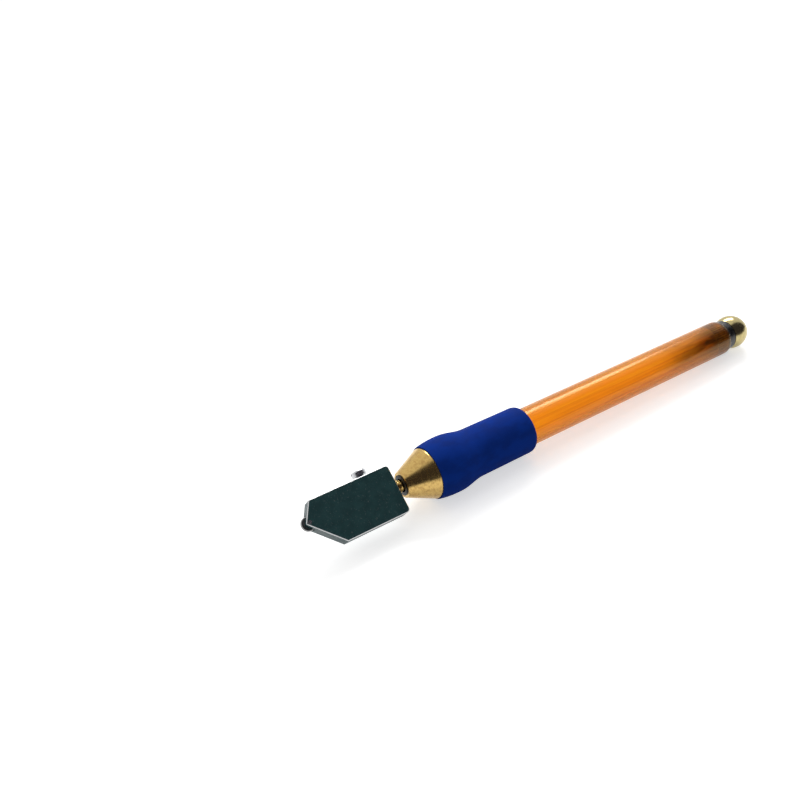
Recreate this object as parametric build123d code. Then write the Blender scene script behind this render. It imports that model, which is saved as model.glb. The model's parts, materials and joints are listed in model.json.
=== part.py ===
from build123d import *
import math
import os

# Oil-feed glass cutter. Sizes are in millimetres.
#
# The tool is drawn straight along X, in its own frame: x = 0 is the plane where the nose cone
# meets the tube, the cutting head lies towards -X and the ball cap towards +X. Z runs up the
# flat face of the head and Y runs through its thickness. lay_down() then puts the finished
# tool on a surface, resting on its grip and its ball.

# Fits between pieces (radial, or face to face)
RUNNING_FIT = 0.03
SLIDING_FIT = 0.05
VALVE_FIT = 0.05
SEAL_FIT = 0.01

# Cutting head: a flat block with five sides
HEAD_THICKNESS = 4.8
HEAD_TOP_LENGTH = 25.2
HEAD_ABOVE_AXIS = 6.8
HEAD_BELOW_AXIS = 7.8
WHEEL_CORNER_REACH = 3.5
WHEEL_CORNER_HEIGHT = 1.1
TOE_SETBACK = 5.0
TOP_FRONT_RADIUS = 0.6
BACK_RADIUS = 1.1
WHEEL_CORNER_RADIUS = 0.5
TOE_RADIUS = 0.4
EDGE_BEVEL = 0.22
HEAD_TO_NOSE = 2.1

# Cutting wheel and its axle
WHEEL_DIAMETER = 4.2
WHEEL_THICKNESS = 1.0
WHEEL_EDGE_ANGLE = 134.0
AXLE_DIAMETER = 1.2
AXLE_SETBACK = 1.2
AXLE_RISE = 0.1
AXLE_END_DIMPLE = 0.15
WHEEL_SIDE_GAP = 0.1
WHEEL_RIM_GAP = 0.35

# Stem: journal in the head, screw thread in the gap, shank and necks in the nose
STEM_DIAMETER = 4.0
STEM_PITCH = 0.7
THREAD_IN_NOSE = 1.4
JOURNAL_STEP = 0.2
JOURNAL_LENGTH = 12.4
JOURNAL_END_GAP = 0.3
GROOVE_DEPTH = 0.35
OIL_BORE_DIAMETER = 1.6
CROSS_HOLE_DIAMETER = 1.0
FEED_TRAVEL = 1.0
GALLERY_SPARE = 0.6
GALLERY_NECK_STEP = 0.25
TAIL_NECK_STEP = 0.25
TAIL_END_LENGTH = 0.7

# Felt wick between the stem and the wheel
WICK_TIP_GAP = 0.2

# Lock screw on the top edge of the head
SCREW_SETBACK = 8.0
SCREW_DIAMETER = 2.5
SCREW_HEAD_DIAMETER = 4.4
SCREW_HEAD_HEIGHT = 1.6
SCREW_HEAD_ROUND = 0.55
SCREW_LIFT = 0.5
SCREW_SLOT_WIDTH = 0.6
SCREW_SLOT_DEPTH = 0.7
SCREW_TIP_DIAMETER = 1.8
SCREW_TIP_LENGTH = 1.2
SCREW_TIP_GAP = 0.1

# Oil valve: seal, plunger, clip, spring and retainer in the nose's chamber
VALVE_SEAL_CORD = 1.0
CHAMBER_FLAT_DEPTH = 0.35
CHAMBER_DEPTH_IN_CONE = 4.0
PLUNGER_SIDE_GAP = 0.2
PLUNGER_FLAT_GAP = 0.1
PLUNGER_FLANGE = 2.0
PLUNGER_BOSS_WALL = 0.65
PLUNGER_BOSS_LENGTH = 1.8
FLATS_SHORTFALL = 0.6
CLIP_WIDTH = 1.0
CLIP_THICKNESS = 0.5
CLIP_GROOVE_DEPTH = 0.25
CLIP_OPENING = 1.8
SPRING_WIRE = 0.5
SPRING_WALL_GAP = 0.22
SPRING_TURNS = 6
RETAINER_LENGTH = 2.5
RETAINER_BORE = 2.6
RETAINER_SLOT_WIDTH = 0.8
RETAINER_SLOT_DEPTH = 0.8

# Nose cone, with the seal around the stem in its small face
NOSE_LENGTH = 9.0
NOSE_FRONT_LIP = 0.75
NOSE_REAR_STEP = 0.35
NOSE_RIM_WIDTH = 0.5
SPIGOT_LENGTH = 12.0
SPIGOT_WALL = 1.05
STEM_SEAL_WALL = 1.05
STEM_SEAL_DEPTH = 1.2
STEM_SEAL_PROUD = 0.2

# Reservoir tube, turned down where the grip sits, and the seal at its front end
TUBE_DIAMETER = 12.0
TUBE_LENGTH = 124.0
TUBE_END_ROUND_LENGTH = 2.6
TUBE_END_STEP = 0.6
TUBE_SEAL_AT = 7.0
TUBE_SEAL_GROOVE = 0.5
TUBE_SEAL_GROOVE_WIDTH = 0.8

# Rubber grip: how thick it is along its length, and how far its parting line is turned
GRIP_LENGTH = 35.3
GRIP_SEAT_STEP = 0.2
GRIP_FRONT_WALL = 2.3
GRIP_BULGE_WALL = 3.0
GRIP_BULGE_AT = 7.0
GRIP_WAIST_WALL = 1.75
GRIP_WAIST_AT = 16.0
GRIP_TAIL_WALL = 1.65
GRIP_TAIL_LENGTH = 3.2
GRIP_END_WALL = 0.8
GRIP_TURN = 9.5

# Filler bush, ball cap and its stud
BUSH_SPIGOT_LENGTH = 6.0
BUSH_FLANGE_STEP = 0.9
BUSH_FLANGE_LENGTH = 2.9
BUSH_EDGE_ROUND = 0.5
STUD_DIAMETER = 5.0
STUD_PITCH = 0.8
STUD_TIP_LENGTH = 3.4
STUD_TIP_BEVEL = 0.4
STUD_IN_BALL = 4.0
BALL_DIAMETER = 11.6
BALL_FACE_GAP = 0.2
BALL_FACE_TO_CENTRE = 2.9
CAP_SEAL_CORD = 1.0
CAP_SEAL_INSET = 0.45

# How far the flat face of the head leans back when the tool lies on a surface
RESTING_ROLL = 50.0

# Diameters of the stem, from its thread inward
THREAD_ROOT_DIAMETER = STEM_DIAMETER - STEM_PITCH
JOURNAL_DIAMETER = STEM_DIAMETER - 2 * JOURNAL_STEP
GROOVE_DIAMETER = JOURNAL_DIAMETER - 2 * GROOVE_DEPTH
GALLERY_NECK_DIAMETER = STEM_DIAMETER - 2 * GALLERY_NECK_STEP
TAIL_NECK_DIAMETER = GALLERY_NECK_DIAMETER - 2 * TAIL_NECK_STEP
CLIP_GROOVE_DIAMETER = TAIL_NECK_DIAMETER - 2 * CLIP_GROOVE_DEPTH
CLIP_DIAMETER = CLIP_GROOVE_DIAMETER + 2 * CLIP_WIDTH
WICK_DIAMETER = OIL_BORE_DIAMETER - 2 * SLIDING_FIT
STEM_BORE_RADIUS = STEM_DIAMETER / 2 + SLIDING_FIT
SCREW_TIP_Z = GROOVE_DIAMETER / 2 + SCREW_TIP_GAP

# Diameters around the stem, from the valve's seal outward to the tube's bore
VALVE_SEAL_MEAN_DIAMETER = GALLERY_NECK_DIAMETER + 2 * VALVE_FIT + VALVE_SEAL_CORD
CHAMBER_FLATS = VALVE_SEAL_MEAN_DIAMETER + VALVE_SEAL_CORD + 2 * VALVE_FIT
CHAMBER_DIAMETER = CHAMBER_FLATS + 2 * CHAMBER_FLAT_DEPTH
PLUNGER_DIAMETER = CHAMBER_DIAMETER - 2 * PLUNGER_SIDE_GAP
PLUNGER_FLATS = CHAMBER_FLATS - 2 * PLUNGER_FLAT_GAP
PLUNGER_BOSS_DIAMETER = TAIL_NECK_DIAMETER + 2 * PLUNGER_BOSS_WALL
SPIGOT_RADIUS = CHAMBER_DIAMETER / 2 + SPIGOT_WALL
TUBE_BORE = 2 * (SPIGOT_RADIUS + SLIDING_FIT)
STEM_SEAL_DIAMETER = 2 * (STEM_BORE_RADIUS + STEM_SEAL_WALL)

# Outer diameters of the handle
GRIP_SEAT_DIAMETER = TUBE_DIAMETER - 2 * GRIP_SEAT_STEP
GRIP_FRONT_DIAMETER = GRIP_SEAT_DIAMETER + 2 * GRIP_FRONT_WALL
GRIP_BULGE_DIAMETER = GRIP_SEAT_DIAMETER + 2 * GRIP_BULGE_WALL
GRIP_WAIST_DIAMETER = GRIP_SEAT_DIAMETER + 2 * GRIP_WAIST_WALL
GRIP_TAIL_DIAMETER = GRIP_SEAT_DIAMETER + 2 * GRIP_TAIL_WALL
GRIP_END_DIAMETER = GRIP_SEAT_DIAMETER + 2 * GRIP_END_WALL
NOSE_FRONT_DIAMETER = STEM_SEAL_DIAMETER + 2 * NOSE_FRONT_LIP
NOSE_REAR_DIAMETER = GRIP_FRONT_DIAMETER - 2 * NOSE_REAR_STEP
TUBE_END_DIAMETER = TUBE_DIAMETER - 2 * TUBE_END_STEP

# Diameters at the filler end, from the stud outward
STUD_ROOT_DIAMETER = STUD_DIAMETER - STUD_PITCH
BUSH_BORE = STUD_DIAMETER + 2 * SLIDING_FIT
CAP_SEAL_MEAN_DIAMETER = BUSH_BORE + 2 * CAP_SEAL_INSET + CAP_SEAL_CORD
BUSH_FLANGE_DIAMETER = TUBE_BORE + 2 * BUSH_FLANGE_STEP

# Places along X that several pieces share
NOSE_FRONT_X = -NOSE_LENGTH
HEAD_BACK_X = NOSE_FRONT_X - HEAD_TO_NOSE
HEAD_FRONT_X = HEAD_BACK_X - HEAD_TOP_LENGTH
WHEEL_CORNER_X = HEAD_FRONT_X - WHEEL_CORNER_REACH
WHEEL_X = WHEEL_CORNER_X + AXLE_SETBACK
WHEEL_Z = WHEEL_CORNER_HEIGHT + AXLE_RISE
SCREW_X = HEAD_BACK_X - SCREW_SETBACK
JOURNAL_TIP_X = HEAD_BACK_X - JOURNAL_LENGTH
HEAD_BORE_END_X = JOURNAL_TIP_X - JOURNAL_END_GAP
CHAMBER_FRONT_X = -CHAMBER_DEPTH_IN_CONE
GALLERY_LENGTH = FEED_TRAVEL + GALLERY_SPARE
VALVE_FACE_X = CHAMBER_FRONT_X + VALVE_SEAL_CORD + VALVE_FIT
FLANGE_REAR_X = VALVE_FACE_X + PLUNGER_FLANGE
BOSS_REAR_X = FLANGE_REAR_X + PLUNGER_BOSS_LENGTH
TAIL_END_X = BOSS_REAR_X + CLIP_THICKNESS + TAIL_END_LENGTH
RETAINER_FRONT_X = SPIGOT_LENGTH - RETAINER_LENGTH
BUSH_FRONT_X = TUBE_LENGTH - BUSH_SPIGOT_LENGTH
BUSH_REAR_X = TUBE_LENGTH + BUSH_FLANGE_LENGTH
BALL_FACE_X = BUSH_REAR_X + BALL_FACE_GAP
BALL_X = BALL_FACE_X + BALL_FACE_TO_CENTRE
STUD_TIP_X = BUSH_FRONT_X - STUD_TIP_LENGTH


def turned(outline):
    """A solid of revolution about X, from a closed outline of (x, radius) points or edges."""
    return revolve(make_face(outline), Axis.X)


def bar(x_start, x_end, diameter):
    """A plain round bar along X."""
    radius = diameter / 2
    corners = [(x_start, 0), (x_end, 0), (x_end, radius), (x_start, radius)]
    return turned(Polyline(*corners, close=True))


def sleeve(x_start, x_end, inner_diameter, outer_diameter):
    """A round sleeve along X."""
    inner = inner_diameter / 2
    outer = outer_diameter / 2
    corners = [(x_start, inner), (x_end, inner), (x_end, outer), (x_start, outer)]
    return turned(Polyline(*corners, close=True))


def o_ring(x_centre, mean_diameter, cord):
    """An O-ring around X."""
    section = Pos(x_centre, mean_diameter / 2) * Circle(cord / 2)
    return revolve(section, Axis.X)


def flats(x_start, x_end, width, reach):
    """A slab that leaves two flats, width apart in Y, on what it is intersected with."""
    return Pos((x_start + x_end) / 2, 0, 0) * Box(x_end - x_start, width, reach)


# ---------------------------------------------------------------- cutting head


def corner(before, point, after, radius):
    """Start, middle and end of the arc that rounds one corner of an outline."""
    to_before = (before - point).normalized()
    to_after = (after - point).normalized()
    half_angle = math.radians(to_before.get_angle(to_after)) / 2
    reach = radius / math.tan(half_angle)
    inward = (to_before + to_after).normalized()
    middle = point + inward * (radius / math.sin(half_angle) - radius)
    return point + to_before * reach, middle, point + to_after * reach


def head_outline():
    """The five-sided outline of the head as a face, drawn in X and Z."""
    corners = [
        (HEAD_FRONT_X, HEAD_ABOVE_AXIS, TOP_FRONT_RADIUS),
        (HEAD_BACK_X, HEAD_ABOVE_AXIS, BACK_RADIUS),
        (HEAD_BACK_X, -HEAD_BELOW_AXIS, BACK_RADIUS),
        (HEAD_FRONT_X + TOE_SETBACK, -HEAD_BELOW_AXIS, TOE_RADIUS),
        (WHEEL_CORNER_X, WHEEL_CORNER_HEIGHT, WHEEL_CORNER_RADIUS),
    ]
    points = [Vector(x, 0, z) for x, z, _ in corners]
    count = len(points)
    arcs = []
    for index in range(count):
        before = points[index - 1]
        after = points[(index + 1) % count]
        arcs.append(corner(before, points[index], after, corners[index][2]))
    edges = []
    for index, (start, middle, end) in enumerate(arcs):
        edges.append(Edge.make_three_point_arc(start, middle, end))
        edges.append(Edge.make_line(end, arcs[(index + 1) % count][0]))
    return Face(Wire(edges))


def across(x, z, diameter, length):
    """A round bar through the head's thickness, along Y."""
    return Pos(x, 0, z) * Rot(90, 0, 0) * Cylinder(diameter / 2, length)


def upright(x, z_low, z_high, diameter):
    """A round bar along Z, on the lock screw's line."""
    return Pos(x, 0, (z_low + z_high) / 2) * Cylinder(diameter / 2, z_high - z_low)


def make_head_block():
    outline = Pos(0, HEAD_THICKNESS / 2, 0) * head_outline()
    block = extrude(outline, HEAD_THICKNESS, dir=(0, -1, 0))
    rims = block.edges().filter_by_position(Axis.Y, -HEAD_THICKNESS / 2, -HEAD_THICKNESS / 2)
    rims += block.edges().filter_by_position(Axis.Y, HEAD_THICKNESS / 2, HEAD_THICKNESS / 2)
    block = chamfer(rims, EDGE_BEVEL)
    slot_diameter = WHEEL_DIAMETER + 2 * WHEEL_RIM_GAP
    block -= across(WHEEL_X, WHEEL_Z, slot_diameter, WHEEL_THICKNESS + 2 * WHEEL_SIDE_GAP)
    block -= across(WHEEL_X, WHEEL_Z, AXLE_DIAMETER, 2 * HEAD_THICKNESS)
    journal_bore = JOURNAL_DIAMETER + 2 * RUNNING_FIT
    block -= bar(HEAD_BORE_END_X, HEAD_BACK_X + 1, journal_bore)
    block -= bar(WHEEL_X, HEAD_BORE_END_X, OIL_BORE_DIAMETER)
    screw_bore = SCREW_DIAMETER + 2 * SLIDING_FIT
    block -= upright(SCREW_X, 0, HEAD_ABOVE_AXIS + 1, screw_bore)
    return block


def make_cutting_wheel():
    half = WHEEL_THICKNESS / 2
    outer = WHEEL_DIAMETER / 2
    inner = AXLE_DIAMETER / 2 + RUNNING_FIT
    edge_depth = half / math.tan(math.radians(WHEEL_EDGE_ANGLE / 2))
    shoulder = outer - edge_depth
    corners = [(-half, inner), (half, inner), (half, shoulder), (0, outer), (-half, shoulder)]
    wheel = turned(Polyline(*corners, close=True))
    return Pos(WHEEL_X, 0, WHEEL_Z) * Rot(0, 0, 90) * wheel


def make_wheel_axle():
    axle = across(WHEEL_X, WHEEL_Z, AXLE_DIAMETER, HEAD_THICKNESS)
    for side in (-1, 1):
        dimple = Pos(WHEEL_X, side * HEAD_THICKNESS / 2, WHEEL_Z) * Sphere(AXLE_END_DIMPLE)
        axle -= dimple
    return axle


def make_wheel_wick():
    tip = WHEEL_X + WHEEL_DIAMETER / 2 + WICK_TIP_GAP
    return bar(tip, HEAD_BORE_END_X, WICK_DIAMETER)


def make_lock_screw():
    head_low = HEAD_ABOVE_AXIS + SCREW_LIFT
    head_high = head_low + SCREW_HEAD_HEIGHT
    head = upright(SCREW_X, head_low, head_high, SCREW_HEAD_DIAMETER)
    top_rim = head.edges().filter_by(GeomType.CIRCLE).sort_by(Axis.Z)[-1]
    head = fillet(top_rim, SCREW_HEAD_ROUND)
    slot_floor = head_high - SCREW_SLOT_DEPTH
    slot = Box(2 * SCREW_HEAD_DIAMETER, SCREW_SLOT_WIDTH, 2 * SCREW_SLOT_DEPTH)
    head -= Pos(SCREW_X, 0, slot_floor + SCREW_SLOT_DEPTH) * slot
    tip_top = SCREW_TIP_Z + SCREW_TIP_LENGTH
    shank = upright(SCREW_X, tip_top, head_low, SCREW_DIAMETER)
    tip = upright(SCREW_X, SCREW_TIP_Z, tip_top, SCREW_TIP_DIAMETER)
    return head + shank + tip


# ---------------------------------------------------------------- stem and valve


def make_stem():
    journal_back = HEAD_BACK_X + RUNNING_FIT
    thread_back = NOSE_FRONT_X + THREAD_IN_NOSE
    gallery_front = CHAMBER_FRONT_X - GALLERY_LENGTH
    stem = bar(JOURNAL_TIP_X, journal_back, JOURNAL_DIAMETER)
    stem += bar(journal_back, thread_back, THREAD_ROOT_DIAMETER)
    stem += bar(thread_back, gallery_front, STEM_DIAMETER)
    stem += bar(gallery_front, VALVE_FACE_X, GALLERY_NECK_DIAMETER)
    stem += bar(VALVE_FACE_X, TAIL_END_X, TAIL_NECK_DIAMETER)
    groove_half = SCREW_TIP_DIAMETER / 2 + SCREW_TIP_GAP
    groove_outer = 2 * JOURNAL_DIAMETER
    stem -= sleeve(SCREW_X - groove_half, SCREW_X + groove_half, GROOVE_DIAMETER, groove_outer)
    clip_rear = BOSS_REAR_X + CLIP_THICKNESS
    stem -= sleeve(BOSS_REAR_X, clip_rear, CLIP_GROOVE_DIAMETER, 2 * TAIL_NECK_DIAMETER)
    cross_hole_x = gallery_front + GALLERY_LENGTH / 2
    stem -= bar(JOURNAL_TIP_X - 1, cross_hole_x, OIL_BORE_DIAMETER)
    stem -= upright(cross_hole_x, -STEM_DIAMETER, STEM_DIAMETER, CROSS_HOLE_DIAMETER)
    return stem


def make_stem_seal():
    front = NOSE_FRONT_X - STEM_SEAL_PROUD
    rear = NOSE_FRONT_X + STEM_SEAL_DEPTH
    return sleeve(front, rear, 2 * STEM_BORE_RADIUS, STEM_SEAL_DIAMETER)


def make_valve_plunger():
    flange = sleeve(VALVE_FACE_X, FLANGE_REAR_X, TAIL_NECK_DIAMETER, PLUNGER_DIAMETER)
    flange &= flats(VALVE_FACE_X, FLANGE_REAR_X, PLUNGER_FLATS, 2 * PLUNGER_DIAMETER)
    boss = sleeve(FLANGE_REAR_X, BOSS_REAR_X, TAIL_NECK_DIAMETER, PLUNGER_BOSS_DIAMETER)
    return flange + boss


def make_retaining_clip():
    clip_rear = BOSS_REAR_X + CLIP_THICKNESS
    ring = sleeve(BOSS_REAR_X, clip_rear, CLIP_GROOVE_DIAMETER, CLIP_DIAMETER)
    opening = Box(2 * CLIP_THICKNESS, CLIP_OPENING, CLIP_DIAMETER)
    ring -= Pos((BOSS_REAR_X + clip_rear) / 2, 0, CLIP_DIAMETER / 2) * opening
    return ring


def make_valve_seal():
    x_centre = CHAMBER_FRONT_X + VALVE_SEAL_CORD / 2
    return o_ring(x_centre, VALVE_SEAL_MEAN_DIAMETER, VALVE_SEAL_CORD)


def make_return_spring():
    """Coil between the plunger's flange and the retainer, around the plunger's boss."""
    coil_radius = CHAMBER_DIAMETER / 2 - SPRING_WALL_GAP - SPRING_WIRE / 2
    start = FLANGE_REAR_X + VALVE_FIT + SPRING_WIRE / 2
    height = RETAINER_FRONT_X - VALVE_FIT - SPRING_WIRE / 2 - start
    path = Helix(height / SPRING_TURNS, height, coil_radius, center=(start, 0, 0), direction=(1, 0, 0))
    section = Plane(origin=path @ 0, z_dir=path % 0) * Circle(SPRING_WIRE / 2)
    return sweep(section, path, is_frenet=True)


def make_spring_retainer():
    ring = sleeve(RETAINER_FRONT_X, SPIGOT_LENGTH, RETAINER_BORE, CHAMBER_DIAMETER)
    slot = Box(2 * RETAINER_SLOT_DEPTH, RETAINER_SLOT_WIDTH, 2 * CHAMBER_DIAMETER)
    return ring - Pos(SPIGOT_LENGTH, 0, 0) * slot


# ---------------------------------------------------------------- handle


def make_nose_cone():
    front = NOSE_FRONT_DIAMETER / 2
    rear = NOSE_REAR_DIAMETER / 2
    corners = [
        (NOSE_FRONT_X, 0),
        (NOSE_FRONT_X, front),
        (-NOSE_RIM_WIDTH, rear),
        (0, rear),
        (0, SPIGOT_RADIUS),
        (SPIGOT_LENGTH, SPIGOT_RADIUS),
        (SPIGOT_LENGTH, 0),
    ]
    nose = turned(Polyline(*corners, close=True))
    nose -= bar(NOSE_FRONT_X - 1, SPIGOT_LENGTH, 2 * STEM_BORE_RADIUS)
    nose -= bar(NOSE_FRONT_X - 1, NOSE_FRONT_X + STEM_SEAL_DEPTH, STEM_SEAL_DIAMETER)
    flats_end = FLANGE_REAR_X - FLATS_SHORTFALL
    chamber_front = bar(CHAMBER_FRONT_X, flats_end, CHAMBER_DIAMETER)
    chamber_front &= flats(CHAMBER_FRONT_X, flats_end, CHAMBER_FLATS, 2 * CHAMBER_DIAMETER)
    nose -= chamber_front
    nose -= bar(flats_end, SPIGOT_LENGTH + 1, CHAMBER_DIAMETER)
    groove_start = TUBE_SEAL_AT - TUBE_SEAL_GROOVE_WIDTH / 2
    groove_end = TUBE_SEAL_AT + TUBE_SEAL_GROOVE_WIDTH / 2
    groove_floor = 2 * (SPIGOT_RADIUS - TUBE_SEAL_GROOVE)
    nose -= sleeve(groove_start, groove_end, groove_floor, 2 * TUBE_BORE)
    return nose


def make_tube_seal():
    room = TUBE_BORE / 2 - SPIGOT_RADIUS + TUBE_SEAL_GROOVE
    cord = room - 2 * SEAL_FIT
    return o_ring(TUBE_SEAL_AT, TUBE_BORE - room, cord)


def make_reservoir_tube():
    bore = TUBE_BORE / 2
    seat = GRIP_SEAT_DIAMETER / 2
    outer = TUBE_DIAMETER / 2
    end = TUBE_END_DIAMETER / 2
    round_start = TUBE_LENGTH - TUBE_END_ROUND_LENGTH
    outline = [
        Line((0, bore), (0, seat)),
        Line((0, seat), (GRIP_LENGTH, seat)),
        Line((GRIP_LENGTH, seat), (GRIP_LENGTH, outer)),
        Line((GRIP_LENGTH, outer), (round_start, outer)),
        Spline((round_start, outer), (TUBE_LENGTH, end), tangents=[(1, 0), (0.5, -0.866)]),
        Line((TUBE_LENGTH, end), (TUBE_LENGTH, bore)),
        Line((TUBE_LENGTH, bore), (0, bore)),
    ]
    return turned(outline)


def make_grip_sleeve():
    bore = GRIP_SEAT_DIAMETER / 2
    front = (0, GRIP_FRONT_DIAMETER / 2)
    bulge = (GRIP_BULGE_AT, GRIP_BULGE_DIAMETER / 2)
    waist = (GRIP_WAIST_AT, GRIP_WAIST_DIAMETER / 2)
    tail = (GRIP_LENGTH - GRIP_TAIL_LENGTH, GRIP_TAIL_DIAMETER / 2)
    end = (GRIP_LENGTH, GRIP_END_DIAMETER / 2)
    outline = [
        Line((0, bore), front),
        Spline(front, bulge, tangents=[(1, 0.25), (1, 0)]),
        Spline(bulge, waist, tangents=[(1, 0), (1, 0)]),
        Line(waist, tail),
        Spline(tail, end, tangents=[(1, 0), (0.35, -1)]),
        Line(end, (GRIP_LENGTH, bore)),
        Line((GRIP_LENGTH, bore), (0, bore)),
    ]
    return Rot(GRIP_TURN, 0, 0) * turned(outline)


# ---------------------------------------------------------------- filler end


def make_filler_bush():
    spigot = sleeve(BUSH_FRONT_X, TUBE_LENGTH, BUSH_BORE, TUBE_BORE)
    flange = sleeve(TUBE_LENGTH, BUSH_REAR_X, BUSH_BORE, BUSH_FLANGE_DIAMETER)
    bush = spigot + flange
    rims = bush.edges().filter_by(GeomType.CIRCLE).group_by(SortBy.RADIUS)[-1]
    return fillet(rims, BUSH_EDGE_ROUND)


def make_cap_seal():
    return o_ring(BUSH_REAR_X + CAP_SEAL_CORD / 2, CAP_SEAL_MEAN_DIAMETER, CAP_SEAL_CORD)


def make_end_ball():
    radius = BALL_DIAMETER / 2
    ball = Pos(BALL_X, 0, 0) * Sphere(radius)
    behind_face = Box(2 * BALL_DIAMETER, 2 * BALL_DIAMETER, 2 * BALL_DIAMETER)
    ball -= Pos(BALL_FACE_X - BALL_DIAMETER, 0, 0) * behind_face
    ball -= bar(BALL_FACE_X - 1, BALL_FACE_X + STUD_IN_BALL, STUD_ROOT_DIAMETER)
    groove_inner = CAP_SEAL_MEAN_DIAMETER - CAP_SEAL_CORD - 2 * SEAL_FIT
    groove_outer = CAP_SEAL_MEAN_DIAMETER + CAP_SEAL_CORD + 2 * SEAL_FIT
    groove_floor = BUSH_REAR_X + CAP_SEAL_CORD + SEAL_FIT
    ball -= sleeve(BALL_FACE_X - 1, groove_floor, groove_inner, groove_outer)
    return ball


def make_cap_stud():
    tip = STUD_TIP_X
    radius = STUD_ROOT_DIAMETER / 2
    end = BALL_FACE_X + STUD_IN_BALL
    corners = [
        (tip, 0),
        (end, 0),
        (end, radius),
        (tip + STUD_TIP_BEVEL, radius),
        (tip, radius - STUD_TIP_BEVEL),
    ]
    return turned(Polyline(*corners, close=True))


# ---------------------------------------------------------------- whole tool


def make_pieces():
    """Every piece in the tool's own frame, by name."""
    return {
        "head_block": make_head_block(),
        "cutting_wheel": make_cutting_wheel(),
        "wheel_axle": make_wheel_axle(),
        "wheel_wick": make_wheel_wick(),
        "lock_screw": make_lock_screw(),
        "stem": make_stem(),
        "stem_seal": make_stem_seal(),
        "valve_plunger": make_valve_plunger(),
        "retaining_clip": make_retaining_clip(),
        "valve_seal": make_valve_seal(),
        "return_spring": make_return_spring(),
        "spring_retainer": make_spring_retainer(),
        "nose_cone": make_nose_cone(),
        "tube_seal": make_tube_seal(),
        "reservoir_tube": make_reservoir_tube(),
        "grip_sleeve": make_grip_sleeve(),
        "filler_bush": make_filler_bush(),
        "cap_seal": make_cap_seal(),
        "end_ball": make_end_ball(),
        "cap_stud": make_cap_stud(),
    }


def lay_down(pieces):
    """Where the tool lies: on its grip's bulge and its ball, with the origin on the surface
    below the middle of its bounding box."""
    radius_drop = (GRIP_BULGE_DIAMETER - BALL_DIAMETER) / 2
    pitch = math.degrees(math.asin(radius_drop / (BALL_X - GRIP_BULGE_AT)))
    turn = Rot(0, pitch, 0) * Rot(-RESTING_ROLL, 0, 0)
    box = Compound(children=[turn * piece for piece in pieces.values()]).bounding_box()
    middle = box.center()
    return Pos(-middle.X, -middle.Y, -box.min.Z) * turn


def main():
    pieces = make_pieces()
    resting_place = lay_down(pieces)
    os.makedirs("parts", exist_ok=True)
    for name, piece in pieces.items():
        export_step(resting_place * piece, f"parts/{name}.step")


if __name__ == "__main__":
    main()
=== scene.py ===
import json
import math

import bmesh
import bpy
from mathutils import Matrix, Vector

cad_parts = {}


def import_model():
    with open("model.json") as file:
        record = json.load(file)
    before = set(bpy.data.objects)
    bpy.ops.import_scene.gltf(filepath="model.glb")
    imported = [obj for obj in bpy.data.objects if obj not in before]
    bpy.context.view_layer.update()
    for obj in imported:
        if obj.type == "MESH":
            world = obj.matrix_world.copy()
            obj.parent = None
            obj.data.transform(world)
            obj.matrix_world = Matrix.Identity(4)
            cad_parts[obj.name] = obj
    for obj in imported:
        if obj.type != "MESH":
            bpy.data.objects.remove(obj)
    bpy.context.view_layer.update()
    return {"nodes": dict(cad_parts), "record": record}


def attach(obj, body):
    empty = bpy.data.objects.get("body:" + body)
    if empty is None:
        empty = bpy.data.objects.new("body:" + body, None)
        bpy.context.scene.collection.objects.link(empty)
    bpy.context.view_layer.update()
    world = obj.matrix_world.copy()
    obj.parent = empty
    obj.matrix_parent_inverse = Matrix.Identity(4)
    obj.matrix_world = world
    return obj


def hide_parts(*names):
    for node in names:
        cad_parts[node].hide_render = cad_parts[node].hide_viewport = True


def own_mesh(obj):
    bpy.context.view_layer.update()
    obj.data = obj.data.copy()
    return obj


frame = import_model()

# ---------------------------------------------------------------- the tool's own directions
# x runs along the tool from the front end of the tube, y through the head's plate, z up the plate.
# Sizes are in mm.

MM = 0.001
JOINTS = {joint["name"]: joint for joint in frame["record"]["behaviour"]["joints"]}
ALONG = Vector(JOINTS["cap_turn"]["axis"]).normalized()
UPRIGHT = Vector(JOINTS["lock_screw_turn"]["axis"]).normalized()
THROUGH = UPRIGHT.cross(ALONG).normalized()


def reach(node, direction):
    """A node's lowest and highest place along a direction, in metres."""
    places = [vertex.co.dot(direction) for vertex in frame["nodes"][node].data.vertices]
    return min(places), max(places)


def middle(node, direction):
    """The middle of a node along a direction, in metres."""
    low, high = reach(node, direction)
    return (low + high) / 2


TUBE = "reservoir_tube"
ORIGIN = ALONG * reach(TUBE, ALONG)[0]
ORIGIN += THROUGH * middle(TUBE, THROUGH) + UPRIGHT * middle(TUBE, UPRIGHT)


def span(node, direction=ALONG):
    """A node's lowest and highest place along a direction, in mm from the tool's origin."""
    return [(place - ORIGIN.dot(direction)) / MM for place in reach(node, direction)]


TUBE_END = span(TUBE)[1]
PAINTED_SHADE_LOWER_SIDE = (90.0, 114.0)  # where the painted shade in the bore fades in on its lower side
PAINTED_SHADE_ALL_ROUND = (103.0, 119.0)  # and where it fades in all round
INSIDE_TUBE_WALL = (4.6, 5.4)  # radii between which the bore's look gives way to the outside's
BORE_ROUGHNESS = 0.42
CEMENT_SHORT = 0.1  # how far the cement stops before the tube's end
SKYWARD = Vector((0, 0, 1))


def at(x, y, z):
    """A place given in the tool's own mm."""
    return ORIGIN + (ALONG * x + THROUGH * y + UPRIGHT * z) * MM


# ---------------------------------------------------------------- materials


def feed(tree, socket, value):
    """Links a socket to another node's output, or sets it to a constant."""
    if isinstance(value, bpy.types.NodeSocket):
        tree.links.new(value, socket)
    else:
        socket.default_value = value


def make(tree, kind, values, **settings):
    """Adds a node with its settings and inputs."""
    made = tree.nodes.new(kind)
    for key, value in settings.items():
        setattr(made, key, value)
    for key, value in values.items():
        feed(tree, made.inputs[key], value)
    return made


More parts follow.
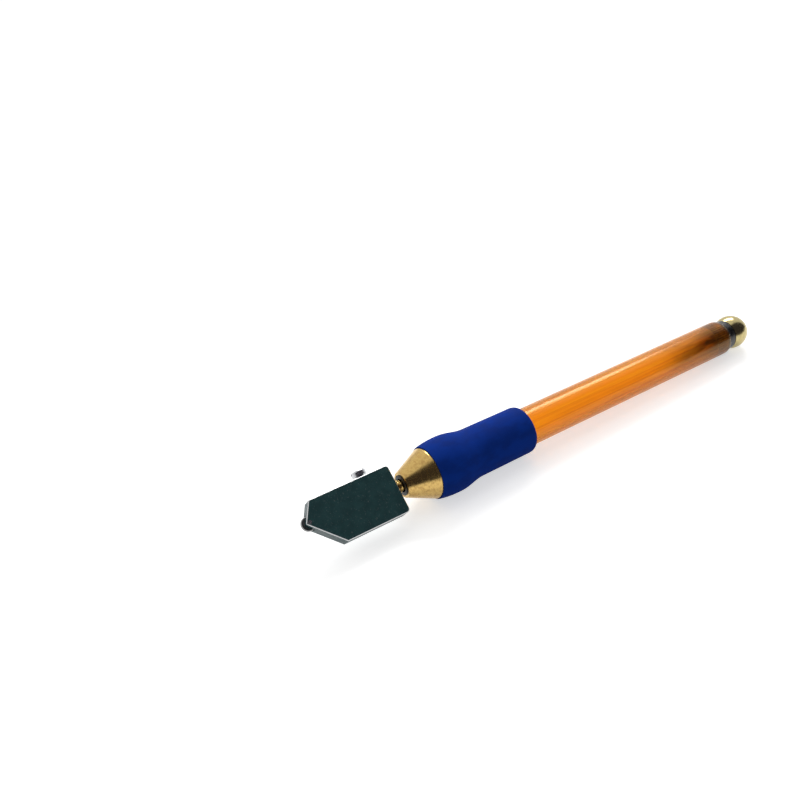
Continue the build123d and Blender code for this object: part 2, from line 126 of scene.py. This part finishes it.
def calculate(tree, operation, *values):
    made = make(tree, "ShaderNodeMath", dict(enumerate(values)), operation=operation)
    return made.outputs[0]


def remap(tree, value, low, high, to_low=0.0, to_high=1.0):
    """Takes low..high smoothly to to_low..to_high."""
    values = {0: value, 1: low, 2: high, 3: to_low, 4: to_high}
    return make(tree, "ShaderNodeMapRange", values, interpolation_type="SMOOTHSTEP").outputs[0]


def mix(tree, factor, first, second):
    values = {0: factor, 6: first, 7: second}
    return make(tree, "ShaderNodeMix", values, data_type="RGBA").outputs[2]


class Look:
    """One procedural material, built with short calls."""

    def __init__(self, name):
        self.material = bpy.data.materials.new(name)
        self.material.use_nodes = True
        self.tree = self.material.node_tree
        self.shader = next(n for n in self.tree.nodes if n.type == "BSDF_PRINCIPLED")
        self.coords = self.tree.nodes.new("ShaderNodeTexCoord")

    def set(self, **inputs):
        """Sets the shader's inputs; an underscore in a name stands for a space."""
        for key, value in inputs.items():
            feed(self.tree, self.shader.inputs[key.replace("_", " ")], value)

    def make(self, kind, values, **settings):
        return make(self.tree, kind, values, **settings)

    def math(self, operation, *values):
        return calculate(self.tree, operation, *values)

    def remap(self, value, low, high, to_low=0.0, to_high=1.0):
        return remap(self.tree, value, low, high, to_low, to_high)

    def mix(self, factor, first, second):
        return mix(self.tree, factor, first, second)

    def dot(self, vector, direction):
        made = self.make("ShaderNodeVectorMath", {0: vector, 1: direction}, operation="DOT_PRODUCT")
        return made.outputs["Value"]

    def place(self, direction=ALONG, origin=ORIGIN):
        """Distance along a direction from a point, in mm."""
        scaled = direction / MM
        along = self.dot(self.coords.outputs["Object"], scaled)
        return self.math("SUBTRACT", along, origin.dot(scaled))

    def radius(self, first=THROUGH, second=UPRIGHT, origin=ORIGIN):
        """Distance in mm from the axis that is square to the two directions."""
        squares = []
        for direction in (first, second):
            place = self.place(direction, origin)
            squares.append(self.math("MULTIPLY", place, place))
        return self.math("SQRT", self.math("ADD", *squares))

    def off_axis(self, axis, origin):
        """Distance in mm from an axis through a point."""
        side = axis.orthogonal().normalized()
        return self.radius(side, axis.cross(side), origin)

    def vector(self, x, y, z):
        return self.make("ShaderNodeCombineXYZ", {0: x, 1: y, 2: z}).outputs[0]

    def stretched(self, along, across):
        """Tool coordinates scaled by one number along the tool and one across it, for a noise."""
        x = self.math("MULTIPLY", self.place(), along)
        y = self.math("MULTIPLY", self.place(THROUGH), across)
        z = self.math("MULTIPLY", self.place(UPRIGHT), across)
        return self.vector(x, y, z)

    def noise(self, vector, scale=1.0, detail=3.0, roughness=0.55):
        values = {"Vector": vector, "Scale": scale, "Detail": detail, "Roughness": roughness}
        return self.make("ShaderNodeTexNoise", values).outputs[0]

    def rings(self, value, period):
        """Fine waves, -1 to 1, along a value in mm."""
        return self.math("SINE", self.math("MULTIPLY", value, 2 * math.pi / period))

    def bump(self, height, depth, under=None):
        """Bump of a given depth in mm; under is another bump to add to."""
        values = {"Height": height, "Distance": depth * MM, "Strength": 1.0}
        if under is not None:
            values["Normal"] = under
        return self.make("ShaderNodeBump", values).outputs[0]


def grey(level):
    return (level, level, level, 1.0)


def coated_steel():
    """Dark teal coat on the flats and sides, worn to bright steel on the bevels."""
    look = Look("coated_steel_look")
    x, y, z = look.place(), look.place(THROUGH), look.place(UPRIGHT)
    even = look.stretched(1.0, 1.0)
    facing = look.math("ABSOLUTE", look.dot(look.coords.outputs["Normal"], THROUGH))
    ragged = look.math("ADD", facing, look.remap(look.noise(even, 2.2, 4.0), 0.3, 0.7, -0.05, 0.05))
    above = look.remap(ragged, 0.3, 0.48)
    bevel = look.math("MULTIPLY", above, look.remap(ragged, 0.97, 0.86))
    corner = look.remap(look.math("ADD", look.math("MULTIPLY", x, 0.5), z), -3.5, 1.5)
    grain = look.noise(even, 9.0, 2.0)
    cloud = look.remap(look.noise(even, 0.35, 3.0), 0.35, 0.65)
    coat = look.mix(cloud, (0.0115, 0.0430, 0.0465, 1.0), (0.0160, 0.0560, 0.0595, 1.0))
    coat = look.mix(look.remap(grain, 0.45, 0.75, 0.0, 0.35), coat, (0.026, 0.076, 0.079, 1.0))
    density = look.math("ADD", 0.10, look.math("MULTIPLY", corner, 0.17))
    spots = look.make("ShaderNodeTexVoronoi", {"Vector": even, "Scale": 3.4}).outputs["Distance"]
    speck = look.math("LESS_THAN", spots, density)
    spotted = look.remap(corner, 0.0, 1.0, 0.07, 0.30)
    coat = look.mix(look.math("MULTIPLY", speck, spotted), coat, (0.20, 0.27, 0.27, 1.0))
    brushed = look.noise(look.stretched(0.6, 6.0), 1.0, 2.0)
    steel = look.mix(brushed, grey(0.50), (0.70, 0.71, 0.72, 1.0))
    finish = look.remap(look.noise(even, 1.3, 4.0), 0.3, 0.7, 0.34, 0.46)
    look.set(Base_Color=look.mix(bevel, coat, steel), Metallic=bevel)
    look.set(Roughness=look.mix(bevel, finish, grey(0.48)), Specular_IOR_Level=0.25)
    wavy = look.math("ADD", y, look.math("MULTIPLY", grain, 0.2))
    look.set(Normal=look.bump(grain, 0.006, look.bump(look.rings(wavy, 0.14), 0.0012)))
    return look.material


def turned_brass(name, bright, tarnish, ring_period, shine, mottle):
    """Lathe-turned brass with fine rings round the tool's axis, cloudy tarnish, and a painted
    highlight band just in front of the tube's front end.
    """
    look = Look(name)
    x = look.place()
    cloud = look.noise(look.stretched(1.1, 0.9), 1.0, 5.0, 0.62)
    fine = look.noise(look.stretched(5.0, 5.0), 1.0, 3.0)
    dull = look.math("MULTIPLY", look.remap(cloud, 0.42, 0.66), mottle)
    colour = look.mix(dull, bright, tarnish)
    colour = look.mix(look.remap(fine, 0.5, 0.75, 0.0, 0.22 * mottle), colour, tarnish)
    # Painted highlight: a narrow band round the axis just in front of the tube's front end is
    # painted in the bright brass.
    painted_rim_highlight = look.remap(look.math("ABSOLUTE", look.math("ADD", x, 0.25)), 0.5, 0.3)
    look.set(Base_Color=look.mix(painted_rim_highlight, colour, bright), Metallic=1.0)
    uneven = look.math("ADD", cloud, look.math("MULTIPLY", fine, 0.3))
    look.set(Roughness=look.remap(uneven, 0.45, 0.85, shine, shine + 0.16))
    wobble = look.math("ADD", x, look.math("MULTIPLY", fine, 0.05))
    turned = look.bump(look.rings(wobble, ring_period), 0.0016)
    look.set(Normal=look.bump(cloud, 0.012, turned))
    return look.material


def bright_steel(name, axis, origin, ring_period=0.11):
    """Plated steel with turning rings round an axis, on the ends and on the sides."""
    look = Look(name)
    outward = look.math("ADD", look.off_axis(axis, origin), look.place(axis, origin))
    cloud = look.noise(look.coords.outputs["Object"], 900.0, 3.0)
    steel = look.mix(cloud, (0.44, 0.45, 0.47, 1.0), (0.64, 0.64, 0.65, 1.0))
    look.set(Base_Color=steel, Metallic=1.0)
    look.set(Roughness=look.remap(cloud, 0.3, 0.7, 0.16, 0.30))
    look.set(Normal=look.bump(look.rings(outward, ring_period), 0.0012, look.bump(cloud, 0.006)))
    return look.material


def carbide(axis, origin):
    """Ground tungsten carbide: grey, with fine grinding rings and a mottled grain."""
    look = Look("carbide_look")
    grain = look.noise(look.coords.outputs["Object"], 9000.0, 2.0)
    ground = look.mix(look.remap(grain, 0.35, 0.7), grey(0.20), grey(0.36))
    look.set(Base_Color=ground, Metallic=1.0)
    look.set(Roughness=look.remap(grain, 0.3, 0.7, 0.26, 0.40))
    look.set(Normal=look.bump(look.rings(look.off_axis(axis, origin), 0.09), 0.0016))
    return look.material


def felt():
    """Oil-soaked felt with short crossed fibres."""
    look = Look("felt_look")
    fibres = look.noise(look.stretched(1.5, 14.0), 1.0, 5.0, 0.7)
    crossed = look.noise(look.stretched(12.0, 2.0), 1.0, 5.0, 0.7)
    tangle = look.math("MAXIMUM", fibres, crossed)
    raised = look.remap(tangle, 0.45, 0.75)
    wool = look.mix(raised, (0.30, 0.26, 0.18, 1.0), (0.62, 0.57, 0.44, 1.0))
    look.set(Base_Color=wool)
    look.set(Roughness=look.remap(tangle, 0.3, 0.8, 0.95, 0.8), Sheen_Weight=0.3)
    look.set(Normal=look.bump(tangle, 0.08))
    return look.material


def black_rubber():
    """Moulded seal rubber with a faint bloom."""
    look = Look("black_rubber_look")
    bloom = look.noise(look.stretched(1.2, 1.2), 1.0, 4.0)
    fine = look.noise(look.stretched(9.0, 9.0), 1.0, 2.0)
    black = look.mix(look.remap(bloom, 0.4, 0.7), grey(0.008), (0.026, 0.026, 0.028, 1.0))
    look.set(Base_Color=black)
    look.set(Roughness=look.remap(bloom, 0.3, 0.7, 0.38, 0.55))
    look.set(Normal=look.bump(fine, 0.012))
    return look.material


def black_plastic():
    """Turned black plastic with fine rings, and brown cement where it is glued into the tube."""
    look = Look("black_plastic_look")
    cloud = look.noise(look.stretched(0.7, 0.7), 1.0, 4.0)
    black = look.mix(look.remap(cloud, 0.4, 0.7), grey(0.006), (0.018, 0.017, 0.017, 1.0))
    glued = look.math("LESS_THAN", look.place(), TUBE_END - CEMENT_SHORT)
    cement = look.mix(cloud, (0.10, 0.075, 0.055, 1.0), (0.26, 0.20, 0.15, 1.0))
    look.set(Base_Color=look.mix(glued, black, cement))
    look.set(Roughness=look.remap(cloud, 0.3, 0.7, 0.22, 0.36))
    outward = look.math("ADD", look.radius(), look.place())
    look.set(Normal=look.bump(look.rings(outward, 0.22), 0.0015))
    return look.material


def amber_acrylic():
    """Clear amber tube with lengthwise streaks, a frosted bore, and painted shade in the bore: dark
    brown near its end and on its lower side.
    """
    look = Look("amber_acrylic_look")
    streaks = look.noise(look.stretched(0.018, 0.62), 1.0, 3.0, 0.5)
    lines = look.noise(look.stretched(0.012, 1.35), 1.0, 3.0, 0.6)
    broad = look.remap(streaks, 0.36, 0.6)
    amber = look.mix(broad, (0.87, 0.34, 0.016, 1.0), (0.80, 0.25, 0.014, 1.0))
    amber = look.mix(look.remap(lines, 0.48, 0.64, 0.0, 0.85), amber, (0.58, 0.130, 0.012, 1.0))
    outside = look.remap(look.radius(), *INSIDE_TUBE_WALL)
    # Painted shade: the bore's colour darkens towards the tube's lower side and towards its end.
    lower_side = look.remap(look.place(SKYWARD), 4.0, 0.0, 0.2, 1.0)
    all_round = look.remap(look.place(), *PAINTED_SHADE_ALL_ROUND, 0.0, 0.75)
    painted_shade = look.remap(look.noise(look.stretched(0.05, 0.32), 1.0, 3.0), 0.36, 0.60)
    painted_shade = look.math("MULTIPLY", painted_shade, look.remap(look.place(), *PAINTED_SHADE_LOWER_SIDE))
    painted_shade = look.math("MAXIMUM", look.math("MULTIPLY", painted_shade, lower_side), all_round)
    # The painted shade's dark brown, mixed into the bore's colour.
    bore = look.mix(painted_shade, (0.97, 0.82, 0.50, 1.0), (0.070, 0.035, 0.045, 1.0))
    look.set(Base_Color=look.mix(outside, bore, amber), Transmission_Weight=1.0, IOR=1.49)
    look.set(Specular_Tint=(1.0, 0.70, 0.22, 1.0))
    polish = look.remap(lines, 0.3, 0.8, 0.15, 0.24)
    look.set(Roughness=look.mix(outside, grey(BORE_ROUGHNESS), polish))
    look.set(Normal=look.bump(lines, 0.02, look.bump(streaks, 0.05)))
    return look.material


def blue_rubber():
    """Soft blue rubber: matt, with a fine moulded grain and handling marks."""
    look = Look("blue_rubber_look")
    grain = look.noise(look.stretched(7.0, 7.0), 1.0, 3.0, 0.6)
    cloud = look.noise(look.stretched(0.16, 0.3), 1.0, 4.0)
    patches = look.remap(cloud, 0.38, 0.64)
    blue = look.mix(patches, (0.0012, 0.0230, 0.200, 1.0), (0.0020, 0.0300, 0.255, 1.0))
    blue = look.mix(look.remap(grain, 0.52, 0.78, 0.0, 0.25), blue, (0.006, 0.040, 0.32, 1.0))
    look.set(Base_Color=blue, Roughness=look.remap(cloud, 0.3, 0.7, 0.72, 0.84))
    look.set(Specular_IOR_Level=0.06)
    look.set(Normal=look.bump(grain, 0.018))
    return look.material


def joint_line(name):
    """A joint's axis and a point on it, in metres."""
    joint = JOINTS[name]
    return Vector(joint["axis"]).normalized(), Vector(joint["pos_m"])


BRASS = turned_brass(
    "brass_look", (0.57, 0.385, 0.13, 1.0), (0.37, 0.215, 0.07, 1.0),
    ring_period=0.19, shine=0.16, mottle=0.6
)
BALL_BRASS = turned_brass(
    "ball_brass_look", (0.48, 0.40, 0.19, 1.0), (0.30, 0.245, 0.11, 1.0),
    ring_period=0.24, shine=0.13, mottle=0.4
)
THREAD_BRASS = turned_brass(
    "thread_brass_look", (0.88, 0.60, 0.20, 1.0), (0.42, 0.25, 0.08, 1.0),
    ring_period=0.09, shine=0.2, mottle=0.8
)
RUBBER = black_rubber()

LOOKS = {
    "head_block": coated_steel(),
    "cutting_wheel": carbide(*joint_line("wheel_spin")),
    "wheel_axle": bright_steel("axle_steel_look", *joint_line("wheel_spin")),
    "lock_screw": bright_steel("screw_steel_look", *joint_line("lock_screw_turn"), 0.16),
    "retaining_clip": bright_steel("clip_steel_look", ALONG, ORIGIN),
    "return_spring": bright_steel("spring_steel_look", ALONG, ORIGIN, 0.05),
    "wheel_wick": felt(),
    "stem": BRASS,
    "valve_plunger": BRASS,
    "spring_retainer": BRASS,
    "nose_cone": BRASS,
    "cap_stud": THREAD_BRASS,
    "end_ball": BALL_BRASS,
    "stem_seal": RUBBER,
    "valve_seal": RUBBER,
    "tube_seal": RUBBER,
    "cap_seal": RUBBER,
    "filler_bush": black_plastic(),
    "reservoir_tube": amber_acrylic(),
    "grip_sleeve": blue_rubber(),
}
for node_name, material in LOOKS.items():
    for slot in frame["nodes"][node_name].material_slots:
        slot.material = material


# ---------------------------------------------------------------- screw threads and the spring


def wound(name, sections, material, sharp_degrees):
    """A solid piece skinned over closed sections, with flat ends."""
    mesh = bmesh.new()
    rings = [[mesh.verts.new(place) for place in section] for section in sections]
    for before, after in zip(rings, rings[1:]):
        for i in range(len(before)):
            j = (i + 1) % len(before)
            mesh.faces.new((before[i], before[j], after[j], after[i]))
    mesh.faces.new(rings[0])
    mesh.faces.new(list(reversed(rings[-1])))
    bmesh.ops.recalc_face_normals(mesh, faces=mesh.faces)
    data = bpy.data.meshes.new(name)
    mesh.to_mesh(data)
    mesh.free()
    data.shade_smooth()
    data.set_sharp_from_angle(angle=math.radians(sharp_degrees))
    data.materials.append(material)
    piece = bpy.data.objects.new(name, data)
    bpy.context.scene.collection.objects.link(piece)
    return piece


THREAD_SECTIONS = 56  # in a turn
THREAD_SUNK = 0.06  # how far the ridge's foot goes into the rod
RIDGE_FOOT, RIDGE_CREST = 0.42, 0.07  # half widths of the ridge, in pitches


def thread(name, start, end, root, crest, pitch):
    """A screw thread round the tool's axis: one ridge that winds from start to end, in mm."""
    count = int((end - start) / pitch * THREAD_SECTIONS)
    low = root - THREAD_SUNK
    sections = []
    for step in range(count + 1):
        angle = 2 * math.pi * step / THREAD_SECTIONS
        ease = min(1.0, 2 * step / THREAD_SECTIONS, 2 * (count - step) / THREAD_SECTIONS)
        top = root + (crest - root) * ease
        x = start + pitch * step / THREAD_SECTIONS
        profile = [(-RIDGE_FOOT, low), (-RIDGE_CREST, top), (RIDGE_CREST, top), (RIDGE_FOOT, low)]
        cos, sin = math.cos(angle), math.sin(angle)
        sections.append([at(x + k * pitch, r * cos, r * sin) for k, r in profile])
    return wound(name, sections, THREAD_BRASS, 30)


def coil(name, node, wire, turns):
    """A round-wire spring that fills its CAD node's length and outer diameter; wire in mm."""
    low, high = span(node)
    sides = span(node, THROUGH)
    mean = (sides[1] - sides[0]) / 2 - wire / 2
    per_turn, round_wire = 48, 14  # sections in a turn, and points round the wire
    count = turns * per_turn
    rise = high - low - wire
    sections = []
    for step in range(count + 1):
        angle = 2 * math.pi * step / per_turn
        x = low + wire / 2 + rise * step / count
        section = []
        for k in range(round_wire):
            turn = 2 * math.pi * k / round_wire
            r = mean + wire / 2 * math.cos(turn)
            side = wire / 2 * math.sin(turn)
            section.append(at(x + side, r * math.cos(angle), r * math.sin(angle)))
        sections.append(section)
    return wound(name, sections, LOOKS[node], 60)


STEM_PITCH, STEM_ROOT, STEM_CREST = 0.7, 1.65, 1.98
STUD_PITCH, STUD_ROOT, STUD_CREST = 0.8, 2.1, 2.45
stem_start = span("head_block")[1] + 0.5 * STEM_PITCH
stem_end = span("stem_seal")[0] - 0.5 * STEM_PITCH
stem_thread = thread("stem_thread", stem_start, stem_end, STEM_ROOT, STEM_CREST, STEM_PITCH)
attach(stem_thread, "stem")

stud_start = span("cap_stud")[0] + STUD_PITCH
stud_end = span("end_ball")[0] - 0.5 * STUD_PITCH
stud_thread = thread("cap_stud_thread", stud_start, stud_end, STUD_ROOT, STUD_CREST, STUD_PITCH)
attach(stud_thread, "cap")

SPRING_WIRE, SPRING_TURNS = 0.5, 6
spring = coil("return_spring_coil", "return_spring", SPRING_WIRE, SPRING_TURNS)
spring_low, spring_high = span("return_spring")
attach(spring, "handle")
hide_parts("return_spring")
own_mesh(spring)

# ---------------------------------------------------------------- floor, world and lamp

FLOOR_HALF_SIDE = 3.0  # metres
FLOOR_GREY = 0.80
FLOOR_GLOW = 0.58  # where it is seen
LIGHT_GREY, LIGHT_DARK_SIDE = 0.80, 0.27
REFLECTED_DARK_SIDE = (0.055, 0.050, 0.062, 1.0)
SOFTBOX_DIRECTION = (0.40, 0.60, 0.70)
SOFTBOX_DISTANCE = 0.75  # metres
SOFTBOX_SIZE = (0.60, 0.20)  # metres
SOFTBOX_WATTS = 3.8
SOFTBOX_AIM = 45  # mm along the tool


def shown_rays(tree):
    """1 for camera, glossy and transmission rays, 0 for the rays that light the object."""
    path = tree.nodes.new("ShaderNodeLightPath").outputs
    total = calculate(tree, "MAXIMUM", path["Is Camera Ray"], path["Is Glossy Ray"])
    return calculate(tree, "MAXIMUM", total, path["Is Transmission Ray"])


def floor():
    """A plain pale floor that glows where it is seen, and lights nothing by its glow."""
    data = bpy.data.meshes.new("floor")
    side = FLOOR_HALF_SIDE
    corners = [(-side, -side, 0), (side, -side, 0), (side, side, 0), (-side, side, 0)]
    data.from_pydata(corners, [], [(0, 1, 2, 3)])
    piece = bpy.data.objects.new("floor", data)
    bpy.context.scene.collection.objects.link(piece)
    material = bpy.data.materials.new("floor_look")
    material.use_nodes = True
    tree = material.node_tree
    tree.nodes.clear()
    diffuse = make(tree, "ShaderNodeBsdfDiffuse", {"Color": grey(FLOOR_GREY)})
    strength = calculate(tree, "MULTIPLY", shown_rays(tree), FLOOR_GLOW)
    glow = make(tree, "ShaderNodeEmission", {"Strength": strength})
    both = make(tree, "ShaderNodeAddShader", {0: diffuse.outputs[0], 1: glow.outputs[0]})
    make(tree, "ShaderNodeOutputMaterial", {"Surface": both.outputs[0]})
    data.materials.append(material)


def world():
    """White to the camera and through the tube; a studio with a dark near side to reflections."""
    made = bpy.data.worlds.new("studio")
    bpy.context.scene.world = made
    made.use_nodes = True
    tree = made.node_tree
    back = next(n for n in tree.nodes if n.type == "BACKGROUND")
    sky = tree.nodes.new("ShaderNodeTexCoord").outputs["Generated"]
    direction = make(tree, "ShaderNodeSeparateXYZ", {0: sky}).outputs
    near = remap(tree, direction["Y"], 0.0, -0.22)
    above = remap(tree, direction["Z"], 0.0, 0.06)
    dark = calculate(tree, "MULTIPLY", near, above)
    reflected = mix(tree, dark, grey(1.0), REFLECTED_DARK_SIDE)
    lighting = mix(tree, dark, grey(LIGHT_GREY), grey(LIGHT_DARK_SIDE))
    path = tree.nodes.new("ShaderNodeLightPath").outputs
    seen = mix(tree, path["Is Glossy Ray"], grey(1.0), reflected)
    feed(tree, back.inputs["Color"], mix(tree, shown_rays(tree), lighting, seen))
    back.inputs["Strength"].default_value = 1.0


def softbox():
    """The only lamp: a rectangle above and behind that faces the middle of the tool."""
    data = bpy.data.lights.new("softbox_top", "AREA")
    data.shape = "RECTANGLE"
    data.size, data.size_y = SOFTBOX_SIZE
    data.energy = SOFTBOX_WATTS
    piece = bpy.data.objects.new("softbox_top", data)
    away = Vector(SOFTBOX_DIRECTION).normalized()
    piece.matrix_world = away.to_track_quat("Z", "Y").to_matrix().to_4x4()
    piece.location = at(SOFTBOX_AIM, 0, 0) + away * SOFTBOX_DISTANCE
    bpy.context.scene.collection.objects.link(piece)


floor()
world()
softbox()

# ---------------------------------------------------------------- camera


LENS = 38.7  # mm, on a 36 mm sensor
CAMERA_FORWARD = (0.430, 0.712, -0.554)  # along the tool, level across it, and up
CAMERA_UP = (0.346, 0.436, 0.830)
CAMERA_PLACE = (-0.1059, -0.1628, 0.1552)  # metres from the tool's origin


def camera():
    """The viewpoint: from the left and above, in front of the tool."""
    level = Vector((0, 1, 0))
    rise = ALONG.cross(level)

    def mixed(x, y, z):
        return ALONG * x + level * y + rise * z

    forward = mixed(*CAMERA_FORWARD).normalized()
    right = forward.cross(mixed(*CAMERA_UP)).normalized()
    up = right.cross(forward)
    data = bpy.data.cameras.new("camera")
    data.sensor_width = 36.0
    data.lens = LENS
    data.clip_start = 0.01
    piece = bpy.data.objects.new("camera", data)
    turn = Matrix((right, up, -forward)).transposed().to_4x4()
    piece.matrix_world = Matrix.Translation(ORIGIN + mixed(*CAMERA_PLACE)) @ turn
    bpy.context.scene.collection.objects.link(piece)
    bpy.context.scene.camera = piece


camera()
bpy.context.scene.view_settings.view_transform = "Standard"
